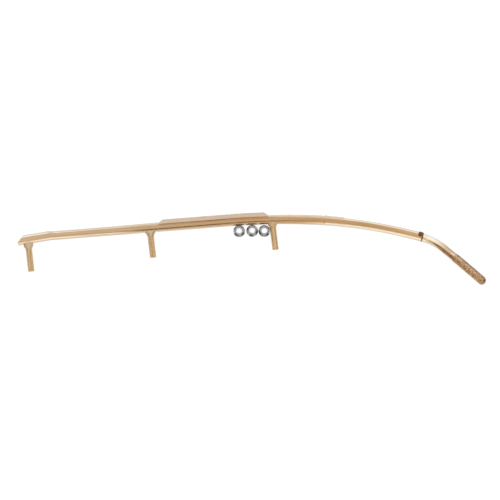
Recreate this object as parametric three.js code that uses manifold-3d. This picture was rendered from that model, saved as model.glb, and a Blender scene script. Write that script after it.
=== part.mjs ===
// A snowmobile ski wear bar lying on its side, with the three loose lock nuts that fasten it.
// Millimetres and degrees. +X runs along the bar to its bent nose, +Y points to the wear edge
// that meets the snow, and +Z is up from the surface that the bar lies on. The studs that go
// through the ski point along -Y. The origin is the middle of the footprint, on that surface.

import * as THREE from "three";
import { mergeVertices } from "three/addons/utils/BufferGeometryUtils.js";
import Module from "manifold-3d";

// ---- driving dimensions ----
const SEAM = 0.3; // left between two pieces that weld, braze or a press fit joins
const BAR_RADIUS = 6.35; // half-inch round bar
const BAR_SIDES = 24;
const ARC_STEP = 12; // longest facet along a bent stretch
const CUTTER = 60; // size of the blocks that cut pieces off
const PAST = 1; // how far a cutter stands past what it cuts

// The bar's middle line, from its rear end: straight legs and arcs, each turning toward the ski.
const BAR_START = { x: -322.5, y: 64.46, heading: 2.8 };
const BAR_LEGS = [
  { length: 43, turn: 0 }, // rear tail
  { length: 6, turn: -5.1 }, // kink between the tail and the running stretch
  { length: 250.5, turn: 0 }, // straight running stretch
  { length: 113.2, turn: -6.73 }, // radius 964
  { length: 157.3, turn: -13.22 }, // radius 682
];
const TAIL_BEVEL = 47; // from a square cut
const TAIL_LIP = 3.9; // of the bar's thickness, left square below the bevel

const NOSE_LEGS = [
  { length: 33, turn: -23.5 },
  { length: 76.6, turn: -2.7 },
];
const NOSE_NECK_RADIUS = 6.2;
const NOSE_WAIST_RADIUS = 5.6;
const NOSE_TIP_RADIUS = 6.1;
const NOSE_STEP_AT = 52; // where the rough forged end begins
const NOSE_STEP_LENGTH = 2;

// The keel is a V of steel on the bar's wear side, with carbide set along its edge.
const KEEL_LENGTH = 152.4; // six inches of carbide runner
const KEEL_AT = 199.6; // its rear foot, along the bar
const KEEL_HEIGHT = 10.85; // wear edge from the bar's middle line
const KEEL_RAMP = 37; // slope of its two ends, from the bar
const KEEL_FOOT_ANGLE = 51; // where a flank meets the bar, from the wear direction
const CARBIDE_COUNT = 6;
const CARBIDE_DEPTH = 1.95; // from the wear edge to the insert's widest point
const CARBIDE_ROOT = 1.55; // from there down to its lowest edge
const SEAT_STEP = 0.1; // the seat's shoulder, below the insert's widest point

// Hard weld on the wear side: each bead's ends by x or by the keel, its half angle around the bar
// and its height, at the rear end and by how much that grows to the front.
const REAR_BEAD = { fromX: -185, halfAngle: 48, low: 0.25, rise: 0.6 };
const FRONT_BEAD = { halfAngle: 52, low: 0.45, rise: 0.75 };
const PAD = { fromX: 106.5, toX: 135, halfAngle: 50, low: 1.05, step: 0.75, fade: 5 };
const NOSE_WELD = { behind: 6.2, ahead: 1.2, halfAngle: 62, low: 0.4, crown: 0.9 };

// Studs, 3/8-16 UNC, drawn at the thread's major diameter.
const STUD_RADIUS = 4.75;
const STUD_SIDES = 20;
const STUD_PITCH = 171.45;
const STUD_CHAMFER = 0.7;
const WELD_OVERLAP = 3; // how far a stud or its weld reaches up the bar's side
const WELD_SHOULDER = 0.42; // of a weld's cone, where it is half as wide as its foot and throat
const SADDLE_REACH = 20; // of bar cut out of a stud's root, each way
const FRONT_STUD_X = 34.9;
const STUDS = [
  { name: "rear", tipY: 19.9, weldWidth: 13.8, straight: 4.4, cone: 2.8 },
  { name: "middle", tipY: 19.1, weldWidth: 15.4, straight: 0.6, cone: 5.2 },
  { name: "front", tipY: 9.7, weldWidth: 13.6, straight: 0.5, cone: 4.2 },
];

// Flanged nylon-insert lock nut for the same thread.
const NUT_ACROSS_FLATS = 13.5;
const NUT_FLANGE_RADIUS = 8.3;
const NUT_FLANGE_RIM = 1.2;
const NUT_FLANGE_HEIGHT = 2.6; // where its slope meets the hexagon
const NUT_HEX_HEIGHT = 8.2;
const NUT_HEIGHT = 11.6;
const NUT_EDGE = 0.3; // broken off the flange's lower edge and the hexagon's corners
const NUT_BORE_RADIUS = 3.97; // the thread's minor diameter
const NUT_BORE_CHAMFER = 0.9;
const NUT_COLLAR_RADIUS = 6.2;
const NUT_COLLAR_FOOT = 0.4; // rise from the hexagon's top to the collar's side
const NUT_RIM = 0.8; // the collar's rim, rolled in over the nylon
const NUT_GROOVE_RADIUS = 5.55;
const NUT_GROOVE_FLOOR = 7.6;
const NUT_GROOVE_LIP = 0.5;
const NYLON_BORE_RADIUS = 4.2;
const NYLON_EDGE = 0.4;
const NYLON_TOP = 10.85;
const ROUND_SIDES = 36;
const NUTS = [
  { x: -12.7, y: 42.45, turn: 27 },
  { x: 5.55, y: 40.75, turn: 24 },
  { x: 22.4, y: 38.5, turn: 12 },
];

const plating = { color: 0xd2a873, roughness: 0.32, metalness: 0.9 };
const palePlating = { color: 0xdcc3a0, roughness: 0.36, metalness: 0.9 };
const weldMetal = { color: 0x9c7650, roughness: 0.55, metalness: 0.8 };
const carbide = { color: 0xded0c0, roughness: 0.42, metalness: 0.85 };
const zinc = { color: 0xc4c6c9, roughness: 0.25, metalness: 0.95 };
const nylon = { color: 0xd9dad8, roughness: 0.5, metalness: 0 };

const wasm = await Module();
wasm.setup();
const radians = THREE.MathUtils.degToRad;

// ---- middle lines ----

// A plan line of legs and arcs. at(s) gives the place and the unit vectors along and out of it.
class PlanLine {
  constructor(start, legs) {
    this.knots = [{ s: 0, x: start.x, y: start.y, heading: radians(start.heading), bend: 0 }];
    for (const leg of legs) {
      const last = this.knots.at(-1);
      last.bend = radians(leg.turn) / leg.length;
      this.knots.push({ ...this.walk(last, leg.length), s: last.s + leg.length, bend: 0 });
    }
    this.length = this.knots.at(-1).s;
  }

  walk(knot, distance) {
    const heading = knot.heading + knot.bend * distance;
    const middle = (knot.heading + heading) / 2;
    const half = (knot.bend * distance) / 2;
    const chord = half === 0 ? distance : (distance * Math.sin(half)) / half;
    return { x: knot.x + chord * Math.cos(middle), y: knot.y + chord * Math.sin(middle), heading };
  }

  at(s) {
    const knot = this.knots.findLast((k) => k.s <= s) ?? this.knots[0];
    const { x, y, heading } = this.walk(knot, s - knot.s);
    const along = new THREE.Vector2(Math.cos(heading), Math.sin(heading));
    return { x, y, heading, along, out: new THREE.Vector2(-along.y, along.x) };
  }

  // The places where a facet begins: every knot, and steps between them on the arcs.
  stations(from = 0, to = this.length) {
    const places = new Set([from, to]);
    this.knots.forEach((knot, i) => {
      const end = this.knots[i + 1]?.s ?? knot.s;
      const steps = knot.bend === 0 ? 1 : Math.ceil((end - knot.s) / ARC_STEP);
      for (let n = 0; n < steps; n += 1) {
        places.add(knot.s + ((end - knot.s) * n) / steps);
      }
    });
    return [...places].filter((s) => s >= from && s <= to).sort((a, b) => a - b);
  }

  // How far along the line a given x is.
  reach(x) {
    let [low, high] = [0, this.length];
    while (high - low > 1e-6) {
      const middle = (low + high) / 2;
      if (this.at(middle).x < x) low = middle;
      else high = middle;
    }
    return low;
  }
}

const barLine = new PlanLine(BAR_START, BAR_LEGS);
const barEnd = barLine.at(barLine.length);
const noseStart = {
  x: barEnd.x + SEAM * barEnd.along.x,
  y: barEnd.y + SEAM * barEnd.along.y,
  heading: THREE.MathUtils.radToDeg(barEnd.heading),
};
const noseLine = new PlanLine(noseStart, NOSE_LEGS);

// Lays a straight geometry along a line: its x goes outward, its y along, its z down.
function bend(geometry, line) {
  const points = geometry.getAttribute("position");
  for (let i = 0; i < points.count; i += 1) {
    const place = line.at(points.getY(i));
    const outward = points.getX(i);
    const x = place.x + place.out.x * outward;
    const y = place.y + place.out.y * outward;
    points.setXYZ(i, x, y, BAR_RADIUS - points.getZ(i));
  }
  geometry.computeVertexNormals();
  return geometry;
}

// A round rod along a line. profile is [station, radius] pairs.
function rod(line, profile, sides = BAR_SIDES) {
  const points = [new THREE.Vector2(0, profile[0][0])];
  for (const [s, radius] of profile) points.push(new THREE.Vector2(radius, s));
  points.push(new THREE.Vector2(0, profile.at(-1)[0]));
  return bend(new THREE.LatheGeometry(points, sides), line);
}

// A section drawn in outward and sideways coordinates, run along a line between two stations.
function run(section, line, from, to, reshape = () => {}) {
  const steps = Math.max(2, Math.ceil((to - from) / ARC_STEP));
  const options = { depth: to - from, steps, bevelEnabled: false };
  const geometry = new THREE.ExtrudeGeometry(new THREE.Shape(section), options);
  reshape(geometry.getAttribute("position"), to - from);
  geometry.rotateX(-Math.PI / 2);
  geometry.translate(0, from, 0);
  return bend(geometry, line);
}

// ---- joining and cutting ----

function toSolid(geometry) {
  const bare = new THREE.BufferGeometry();
  bare.setAttribute("position", geometry.getAttribute("position").clone());
  if (geometry.index) bare.setIndex(geometry.index.clone());
  const merged = mergeVertices(bare, 1e-4);
  const corners = merged.index.array;
  const kept = [];
  for (let i = 0; i < corners.length; i += 3) {
    const [a, b, c] = corners.slice(i, i + 3);
    if (a !== b && b !== c && c !== a) kept.push(a, b, c);
  }
  const vertProperties = new Float32Array(merged.getAttribute("position").array);
  const mesh = new wasm.Mesh({ numProp: 3, vertProperties, triVerts: new Uint32Array(kept) });
  return new wasm.Manifold(mesh);
}

function toGeometry(solid) {
  const mesh = solid.getMesh();
  const geometry = new THREE.BufferGeometry();
  geometry.setAttribute("position", new THREE.BufferAttribute(mesh.vertProperties, 3));
  geometry.setIndex(new THREE.BufferAttribute(mesh.triVerts, 1));
  geometry.computeVertexNormals();
  return geometry;
}

// Everything on one side of a sloping plane. The plane crosses the line at a station and an
// outward offset, tilted from a square cut. side is -1 to remove what is behind it, 1 in front.
function beyond(line, station, offset, tilt, side) {
  const place = line.at(station);
  const away = place.along.clone().multiplyScalar(side * Math.cos(radians(tilt)));
  away.addScaledVector(place.out, Math.sin(radians(tilt)));
  const box = new THREE.BoxGeometry(CUTTER, CUTTER, CUTTER);
  box.rotateZ(away.angle());
  const middle = new THREE.Vector2(place.x, place.y);
  middle.addScaledVector(place.out, offset);
  middle.addScaledVector(away, CUTTER / 2);
  box.translate(middle.x, middle.y, BAR_RADIUS);
  return toSolid(box);
}

const runner = new THREE.Group();

function piece(name, geometry, finish) {
  const mesh = new THREE.Mesh(geometry, new THREE.MeshStandardMaterial(finish));
  mesh.name = name;
  runner.add(mesh);
  return mesh;
}

// ---- the bar and its nose ----

function hostBar() {
  const profile = barLine.stations().map((s) => [s, BAR_RADIUS]);
  const whole = toSolid(rod(barLine, profile));
  const bevel = beyond(barLine, 0, TAIL_LIP - BAR_RADIUS, TAIL_BEVEL, -1);
  return toGeometry(whole.subtract(bevel));
}

// The nose narrows from its neck to a waist, steps up to the rough end and closes in a dome.
function noseRod() {
  const smooth = noseLine.stations(0, NOSE_STEP_AT).map((s) => {
    const t = Math.sin((s / NOSE_STEP_AT) * Math.PI * 0.5);
    return [s, THREE.MathUtils.lerp(NOSE_NECK_RADIUS, NOSE_WAIST_RADIUS, t)];
  });
  const domeAt = noseLine.length - NOSE_TIP_RADIUS;
  const roughAt = NOSE_STEP_AT + NOSE_STEP_LENGTH;
  const rough = noseLine.stations(roughAt, domeAt).map((s) => [s, NOSE_TIP_RADIUS]);
  const dome = [25, 50, 72].map((angle) => [
    domeAt + NOSE_TIP_RADIUS * Math.sin(radians(angle)),
    NOSE_TIP_RADIUS * Math.cos(radians(angle)),
  ]);
  return rod(noseLine, [...smooth, ...rough, ...dome]);
}

// ---- beads of weld laid on a round bar ----

// A crescent section on the bar's surface, of unit height, between two angles from outward.
function crescent(radius, halfAngle) {
  const count = 6;
  const section = [];
  const polar = (r, angle) => new THREE.Vector2(r * Math.cos(angle), r * Math.sin(angle));
  for (let i = 0; i <= count; i += 1) {
    section.push(polar(radius, radians(halfAngle) * (1 - (2 * i) / count)));
  }
  for (let i = 1; i < count; i += 1) {
    const t = (2 * i) / count - 1;
    section.push(polar(radius + Math.cos((t * Math.PI) / 2), radians(halfAngle) * t));
  }
  return section.reverse();
}

// height(t) is the bead's height from t = 0 at its rear to t = 1 at its front.
function bead(line, from, to, halfAngle, height) {
  const inner = BAR_RADIUS + SEAM;
  const swell = (points, length) => {
    for (let i = 0; i < points.count; i += 1) {
      const radius = Math.hypot(points.getX(i), points.getY(i));
      const grown = inner + (radius - inner) * height(points.getZ(i) / length);
      points.setXY(i, (points.getX(i) * grown) / radius, (points.getY(i) * grown) / radius);
    }
  };
  return run(crescent(inner, halfAngle), line, from, to, swell);
}

// ---- the keel and its carbide ----

const keelEnd = KEEL_AT + KEEL_LENGTH;
const footAngle = radians(KEEL_FOOT_ANGLE);
const footRadius = BAR_RADIUS + SEAM;
const foot = new THREE.Vector2(Math.cos(footAngle), Math.sin(footAngle)).multiplyScalar(footRadius);
const flankSlope = foot.y / (KEEL_HEIGHT - foot.x); // sideways for each millimetre down from the edge
const rampRun = (KEEL_HEIGHT - footRadius) / Math.tan(radians(KEEL_RAMP));
const seatEnds = [KEEL_AT + rampRun, keelEnd - rampRun];

function keelBlade() {
  const underside = [];
  for (let i = 0; i <= 6; i += 1) {
    const angle = footAngle * (1 - i / 3);
    underside.push(new THREE.Vector2(footRadius * Math.cos(angle), footRadius * Math.sin(angle)));
  }
  const section = [new THREE.Vector2(KEEL_HEIGHT, 0), ...underside];
  const blade = toSolid(run(section, barLine, KEEL_AT, keelEnd));
  const rear = beyond(barLine, KEEL_AT, footRadius, 90 - KEEL_RAMP, -1);
  const front = beyond(barLine, keelEnd, footRadius, 90 - KEEL_RAMP, 1);
  const widest = KEEL_HEIGHT - CARBIDE_DEPTH;
  const lip = CARBIDE_DEPTH * flankSlope + SEAM;
  const seat = [
    new THREE.Vector2(widest - CARBIDE_ROOT - SEAM * Math.SQRT2, 0),
    new THREE.Vector2(widest - SEAT_STEP, lip),
    new THREE.Vector2(KEEL_HEIGHT + PAST, lip),
    new THREE.Vector2(KEEL_HEIGHT + PAST, -lip),
    new THREE.Vector2(widest - SEAT_STEP, -lip),
  ];
  const groove = toSolid(run(seat, barLine, seatEnds[0], seatEnds[1]));
  return toGeometry(blade.subtract(rear).subtract(front).subtract(groove));
}

function carbideInsert(index) {
  const pitch = (seatEnds[1] - seatEnds[0]) / CARBIDE_COUNT;
  const from = seatEnds[0] + index * pitch + SEAM / 2;
  const widest = KEEL_HEIGHT - CARBIDE_DEPTH;
  const side = CARBIDE_DEPTH * flankSlope;
  const section = [
    new THREE.Vector2(KEEL_HEIGHT, 0),
    new THREE.Vector2(widest, side),
    new THREE.Vector2(widest - CARBIDE_ROOT, 0),
    new THREE.Vector2(widest, -side),
  ];
  return run(section, barLine, from, from + pitch - SEAM);
}

// ---- studs and the weld at their roots ----

// A turned solid on an axis that runs along -Y from (x, y), at the height of the bar's middle.
function turned(profile, x, y, sides) {
  const geometry = new THREE.LatheGeometry(profile, sides);
  geometry.rotateX(Math.PI);
  geometry.translate(x, y, BAR_RADIUS);
  return geometry;
}

function studRootY(x) {
  return barLine.at(barLine.reach(x)).y - BAR_RADIUS - SEAM;
}

// The space that the bar takes around x, with its seam, which saddles whatever is welded there.
function barSpace(x) {
  const middle = barLine.reach(x);
  const from = Math.max(middle - SADDLE_REACH, 0);
  const to = middle + SADDLE_REACH;
  return toSolid(rod(barLine, barLine.stations(from, to).map((s) => [s, BAR_RADIUS + SEAM])));
}

function studSolid(x, rootY, tipY) {
  const length = rootY - tipY;
  const profile = [
    new THREE.Vector2(0, -WELD_OVERLAP),
    new THREE.Vector2(STUD_RADIUS, -WELD_OVERLAP),
    new THREE.Vector2(STUD_RADIUS, length - STUD_CHAMFER),
    new THREE.Vector2(STUD_RADIUS - STUD_CHAMFER, length),
    new THREE.Vector2(0, length),
  ];
  return toGeometry(toSolid(turned(profile, x, rootY, STUD_SIDES)).subtract(barSpace(x)));
}

// A flared collar of weld, wide along the bar and narrower across it, hollow for the stud.
function studWeld(stud, x, rootY) {
  const radius = stud.weldWidth / 2;
  const throat = STUD_RADIUS + 2 * SEAM;
  const depth = stud.straight + stud.cone;
  const flare = [
    new THREE.Vector2(0, -WELD_OVERLAP),
    new THREE.Vector2(radius, -WELD_OVERLAP),
    new THREE.Vector2(radius, stud.straight),
    new THREE.Vector2((radius + throat) / 2, stud.straight + stud.cone * WELD_SHOULDER),
    new THREE.Vector2(throat, depth),
    new THREE.Vector2(0, depth),
  ];
  const outside = new THREE.LatheGeometry(flare, ROUND_SIDES);
  outside.rotateX(Math.PI);
  outside.scale(1, 1, (BAR_RADIUS - SEAM / 2) / radius);
  outside.translate(x, rootY, BAR_RADIUS);
  const fit = STUD_RADIUS + SEAM;
  const hole = new THREE.CylinderGeometry(fit, fit, CUTTER, STUD_SIDES);
  hole.translate(x, rootY, BAR_RADIUS);
  return toGeometry(toSolid(outside).subtract(toSolid(hole)).subtract(barSpace(x)));
}

// ---- lock nuts ----

// A solid of revolution about Z. outline is a closed loop of [radius, height] pairs.
function revolved(outline) {
  const points = outline.map(([radius, height]) => new THREE.Vector2(radius, height));
  const geometry = new THREE.LatheGeometry(points, ROUND_SIDES);
  geometry.rotateX(Math.PI / 2);
  return geometry;
}

// The nut above its flange, before its flats are cut: the chamfers that cut the hexagon's corners,
// and the collar with its rim folded in over the nylon's groove.
function nutBarrel() {
  const flat = NUT_ACROSS_FLATS / 2;
  const corner = flat / Math.cos(radians(30)) + NUT_EDGE;
  const chamfer = (corner - flat) * Math.tan(radians(30));
  return revolved([
    [NUT_BORE_RADIUS + NUT_BORE_CHAMFER, 0],
    [flat, 0],
    [corner, chamfer],
    [corner, NUT_HEX_HEIGHT - chamfer],
    [flat, NUT_HEX_HEIGHT],
    [NUT_COLLAR_RADIUS, NUT_HEX_HEIGHT + NUT_COLLAR_FOOT],
    [NUT_COLLAR_RADIUS, NUT_HEIGHT - NUT_RIM],
    [NUT_COLLAR_RADIUS - NUT_RIM, NUT_HEIGHT],
    [NUT_GROOVE_RADIUS - NUT_GROOVE_LIP, NUT_HEIGHT],
    [NUT_GROOVE_RADIUS, NUT_HEIGHT - NUT_RIM],
    [NUT_GROOVE_RADIUS, NUT_GROOVE_FLOOR],
    [NUT_BORE_RADIUS, NUT_GROOVE_FLOOR],
    [NUT_BORE_RADIUS, NUT_BORE_CHAMFER],
    [NUT_BORE_RADIUS + NUT_BORE_CHAMFER, 0],
  ]);
}

function nutFlange() {
  return revolved([
    [NUT_BORE_RADIUS + NUT_BORE_CHAMFER, 0],
    [NUT_FLANGE_RADIUS - NUT_EDGE, 0],
    [NUT_FLANGE_RADIUS, NUT_EDGE],
    [NUT_FLANGE_RADIUS, NUT_FLANGE_RIM],
    [NUT_ACROSS_FLATS / 2, NUT_FLANGE_HEIGHT],
    [NUT_BORE_RADIUS, NUT_FLANGE_HEIGHT],
    [NUT_BORE_RADIUS, NUT_BORE_CHAMFER],
    [NUT_BORE_RADIUS + NUT_BORE_CHAMFER, 0],
  ]);
}

function lockNut() {
  const corner = NUT_ACROSS_FLATS / 2 / Math.cos(radians(30));
  const hexagon = new THREE.CylinderGeometry(corner, corner, CUTTER, 6);
  hexagon.rotateX(Math.PI / 2);
  const barrel = toSolid(nutBarrel()).intersect(toSolid(hexagon));
  return toGeometry(barrel.add(toSolid(nutFlange())));
}

function nylonRing() {
  const outer = NUT_GROOVE_RADIUS - SEAM;
  const floor = NUT_GROOVE_FLOOR + SEAM;
  return revolved([
    [NYLON_BORE_RADIUS + NYLON_EDGE, floor],
    [outer, floor],
    [outer, NYLON_TOP - NYLON_EDGE],
    [outer - NYLON_EDGE, NYLON_TOP],
    [NYLON_BORE_RADIUS + NYLON_EDGE, NYLON_TOP],
    [NYLON_BORE_RADIUS, NYLON_TOP - NYLON_EDGE],
    [NYLON_BORE_RADIUS, floor + NYLON_EDGE],
    [NYLON_BORE_RADIUS + NYLON_EDGE, floor],
  ]);
}

// ---- assembly ----

piece("host_bar", hostBar(), plating);
piece("nose_rod", noseRod(), plating);
piece("keel_blade", keelBlade(), palePlating);
for (let i = 0; i < CARBIDE_COUNT; i += 1) {
  piece(`carbide_insert_${i + 1}`, carbideInsert(i), carbide);
}

// A long run of hard weld thins out behind the keel, one rises ahead of it, and a thicker pad in
// front of that begins with a small step.
const padStart = barLine.reach(PAD.fromX);
const padEnd = barLine.reach(PAD.toX);
const rearStart = barLine.reach(REAR_BEAD.fromX);
const rearHeight = (t) => REAR_BEAD.low + REAR_BEAD.rise * t;
const frontHeight = (t) => FRONT_BEAD.low + FRONT_BEAD.rise * t;
const padHeight = (t) => PAD.low + PAD.step * Math.exp(-PAD.fade * t);
const rearBead = bead(barLine, rearStart, KEEL_AT - SEAM, REAR_BEAD.halfAngle, rearHeight);
const frontBead = bead(barLine, keelEnd + SEAM, padStart - SEAM, FRONT_BEAD.halfAngle, frontHeight);
piece("hardfacing_rear", rearBead, palePlating);
piece("hardfacing_front", frontBead, palePlating);
piece("hardfacing_pad", bead(barLine, padStart, padEnd, PAD.halfAngle, padHeight), palePlating);

// The weld that joins the nose stands mostly on the bar's end.
const noseWeldStart = barLine.length - NOSE_WELD.behind;
const noseWeldEnd = barLine.length + NOSE_WELD.ahead;
const noseWeldHeight = (t) => NOSE_WELD.low + NOSE_WELD.crown * Math.sin(Math.PI * t);
const noseWeld = bead(barLine, noseWeldStart, noseWeldEnd, NOSE_WELD.halfAngle, noseWeldHeight);
piece("nose_weld", noseWeld, weldMetal);

STUDS.forEach((stud, i) => {
  const x = FRONT_STUD_X - (STUDS.length - 1 - i) * STUD_PITCH;
  const rootY = studRootY(x);
  piece(`stud_${stud.name}`, studSolid(x, rootY, stud.tipY), plating);
  piece(`stud_weld_${stud.name}`, studWeld(stud, x, rootY), palePlating);
});

NUTS.forEach((nut, i) => {
  const place = new THREE.Group();
  place.position.set(nut.x, nut.y, 0);
  place.rotation.z = radians(nut.turn);
  const body = piece(`lock_nut_${i + 1}`, lockNut(), zinc);
  const ring = piece(`nylon_insert_${i + 1}`, nylonRing(), nylon);
  place.add(body, ring);
  runner.add(place);
});

const footprint = new THREE.Box3().setFromObject(runner);
const centre = footprint.getCenter(new THREE.Vector3());
runner.position.set(-centre.x, -centre.y, -footprint.min.z);

export default runner;
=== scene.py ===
"""Looks of a snowmobile ski wear bar that lies on its side with three loose lock nuts.

Metres throughout, in the CAD frame: +X along the bar to its nose, +Y to the wear edge, +Z up.
Bent pieces are shaped straight, as (station, outward, upward), and laid along the bar's line.
"""

import math

import bmesh
import bpy
import numpy as np
from mathutils import Matrix, Vector, noise


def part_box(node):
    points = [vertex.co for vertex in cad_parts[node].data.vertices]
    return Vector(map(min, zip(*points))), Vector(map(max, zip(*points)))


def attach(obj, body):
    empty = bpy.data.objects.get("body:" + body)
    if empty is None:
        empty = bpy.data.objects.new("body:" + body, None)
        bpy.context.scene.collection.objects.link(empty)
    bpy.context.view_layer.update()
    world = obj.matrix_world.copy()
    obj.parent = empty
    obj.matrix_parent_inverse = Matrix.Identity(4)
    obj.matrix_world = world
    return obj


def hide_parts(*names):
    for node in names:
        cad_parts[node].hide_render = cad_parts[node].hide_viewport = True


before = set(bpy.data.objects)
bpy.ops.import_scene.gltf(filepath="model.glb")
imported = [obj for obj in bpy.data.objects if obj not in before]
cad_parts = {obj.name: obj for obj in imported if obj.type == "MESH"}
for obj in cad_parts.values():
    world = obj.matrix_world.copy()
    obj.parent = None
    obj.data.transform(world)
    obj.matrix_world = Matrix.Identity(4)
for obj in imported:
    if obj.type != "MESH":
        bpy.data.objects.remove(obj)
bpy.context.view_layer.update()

MM = 0.001


def middle_of(node):
    low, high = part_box(node)
    return (low + high) / 2


# ---- driving dimensions, as the CAD part has them ----

BAR_RADIUS = 6.35 * MM
BAR_START = (-322.5 * MM, 64.46 * MM)
BAR_HEADING = math.radians(2.8)
# Legs are (millimetres long, degrees turned).
BAR_LEGS = [(43, 0), (6, -5.1), (250.5, 0), (113.2, -6.73), (157.3, -13.22)]
NOSE_LEGS = [(33, -23.5), (76.6, -2.7)]
FRONT_STUD = (34.9 * MM, 9.7 * MM)  # its middle in x and its tip in y
SEAM = 0.3 * MM
TAIL_BEVEL = math.radians(47)
TAIL_LIP = 3.9 * MM
NOSE_NECK_RADIUS = 6.2 * MM
NOSE_WAIST_RADIUS = 5.6 * MM
NOSE_TIP_RADIUS = 6.1 * MM
NOSE_STEP_AT = 52 * MM
KEEL_AT = 199.6 * MM
KEEL_LENGTH = 152.4 * MM
KEEL_HEIGHT = 10.85 * MM
KEEL_RAMP = math.radians(37)
KEEL_FOOT_ANGLE = math.radians(51)
CARBIDE_COUNT = 6
CARBIDE_DEPTH = 1.95 * MM
CARBIDE_ROOT = 1.55 * MM
THREAD_PITCH = 25.4 / 16 * MM
THREAD_MAJOR = 4.75 * MM
THREAD_DEPTH = 0.22 * THREAD_PITCH
NUT_FLAT = 6.75 * MM
NUT_FLANGE = 8.3 * MM
NUT_FLANGE_SLOPE = 1.5 * MM
NUT_HEX_HEIGHT = 8.2 * MM
NUT_HEIGHT = 11.6 * MM
NUT_BORE = 3.97 * MM
NUT_COLLAR = 6.2 * MM
NYLON_BORE = 3.95 * MM
# Each weld's width on the bar, then the depth of its straight part and of its cone, in mm.
STUD_WELDS = {"rear": (13.8, 4.4, 2.8), "middle": (15.4, 0.6, 5.2), "front": (13.6, 0.5, 4.2)}
# Dark reflection lines painted along each stud: millimetres across, half width in mm, darkness.
STUD_REFLECTION_LINES = {
    "rear": [(-0.5, 0.7, 0.45), (4.3, 0.8, 0.5), (-4.0, 0.8, 0.3)],
    "middle": [(0.4, 0.8, 0.5), (4.2, 0.9, 0.4), (-4.0, 0.9, 0.3)],
    "front": [(-2.6, 0.8, 0.55), (4.0, 0.8, 0.4)],
}
# Degrees by which each nut is turned, and by which the dark reflections painted on it are turned.
NUT_TURNS = [27, 24, 12]
NUT_REFLECTION_TURNS = [0, -22, 14]

BAR_HEIGHT = middle_of("stud_front").z
SHIFT = np.array([
    middle_of("stud_front").x - FRONT_STUD[0],
    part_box("stud_front")[0].y - FRONT_STUD[1],
])
UP = np.array([0.0, 0.0, 1.0])


# ---- middle lines ----


class PlanLine:
    """A level line of legs and arcs, each (millimetres, degrees turned), from a start."""

    def __init__(self, start, heading, legs):
        self.knots = [[0.0, start[0], start[1], heading, 0.0]]
        for length, turn in legs:
            last = self.knots[-1]
            last[4] = math.radians(turn) / (length * MM)
            x, y, after = self.walk(last, length * MM)
            self.knots.append([last[0] + length * MM, x, y, after, 0.0])
        self.length = self.knots[-1][0]

    @staticmethod
    def walk(knot, distance):
        _, x, y, heading, bend = knot
        after = heading + bend * distance
        chord = distance * np.sinc(bend * distance / 2 / np.pi)
        mid = (heading + after) / 2
        return x + chord * np.cos(mid), y + chord * np.sin(mid), after

    def at(self, s):
        """The places, and the unit vectors along and outward, at an array of stations."""
        s = np.asarray(s, float)
        x, y, heading = np.zeros_like(s), np.zeros_like(s), np.zeros_like(s)
        for i, knot in enumerate(self.knots):
            here = s >= knot[0] if i else np.ones_like(s, bool)
            px, py, ph = self.walk(knot, s - knot[0])
            x = np.where(here, px, x)
            y = np.where(here, py, y)
            heading = np.where(here, ph, heading)
        level, flat = np.full_like(s, BAR_HEIGHT), np.zeros_like(s)
        along = np.stack([np.cos(heading), np.sin(heading), flat], -1)
        out = np.stack([-np.sin(heading), np.cos(heading), flat], -1)
        return np.stack([x, y, level], -1), along, out

    def lay(self, straight):
        """Straight points, as (station, outward, upward), laid along the line."""
        place, _, out = self.at(straight[..., 0])
        return place + out * straight[..., 1:2] + UP * straight[..., 2:3]

    def reach(self, x):
        """How far along the line a given x is."""
        low, high = 0.0, self.length
        while high - low > 1e-7:
            mid = (low + high) / 2
            low, high = (mid, high) if self.at(mid)[0][0] < x else (low, mid)
        return low


bar_line = PlanLine(np.array(BAR_START) + SHIFT, BAR_HEADING, BAR_LEGS)
bar_end, bar_end_along, _ = bar_line.at(bar_line.length)
nose_start = bar_end + SEAM * bar_end_along
nose_line = PlanLine(nose_start[:2], math.atan2(bar_end_along[1], bar_end_along[0]), NOSE_LEGS)


# ---- mesh tools ----


def ramp(value, low, high):
    """0 below low, 1 above high and smooth between."""
    t = np.clip((value - low) / (high - low), 0, 1)
    return t * t * (3 - 2 * t)


def hump(value, middle, width):
    """1 at the middle, falling away like a bell."""
    return np.exp(-(((value - middle) / width) ** 2))


def lumps(points, size, seed, detail=3):
    """Fractal noise, about -1 to 1, at an array of points. size is the size of its lumps."""
    shape = points.shape[:-1]
    flat = points.reshape(-1, 3) / size + seed
    values = [noise.fractal(Vector(p), 1.0, 2.0, detail) for p in flat]
    return np.array(values).reshape(shape)


def tube_faces(rows, around):
    """Quads of a grid whose columns go round, with the normals outward."""
    faces = []
    for i in range(rows - 1):
        for j in range(around):
            k = (j + 1) % around
            faces.append((i * around + j, i * around + k, (i + 1) * around + k, (i + 1) * around + j))
    return faces


def tube(grid):
    """Points and faces of a closed grid, with a flat polygon over each end."""
    rows, around = grid.shape[:2]
    faces = tube_faces(rows, around)
    faces.append(tuple(reversed(range(around))))
    faces.append(tuple(range((rows - 1) * around, rows * around)))
    return grid.reshape(-1, 3), faces


def ring_tube(grid):
    """Points and faces of a grid that is closed both ways, like a turned ring."""
    rows, around = grid.shape[:2]
    faces = tube_faces(rows, around)
    last = (rows - 1) * around
    for j in range(around):
        k = (j + 1) % around
        faces.append((last + j, last + k, k, j))
    return grid.reshape(-1, 3), faces


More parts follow.
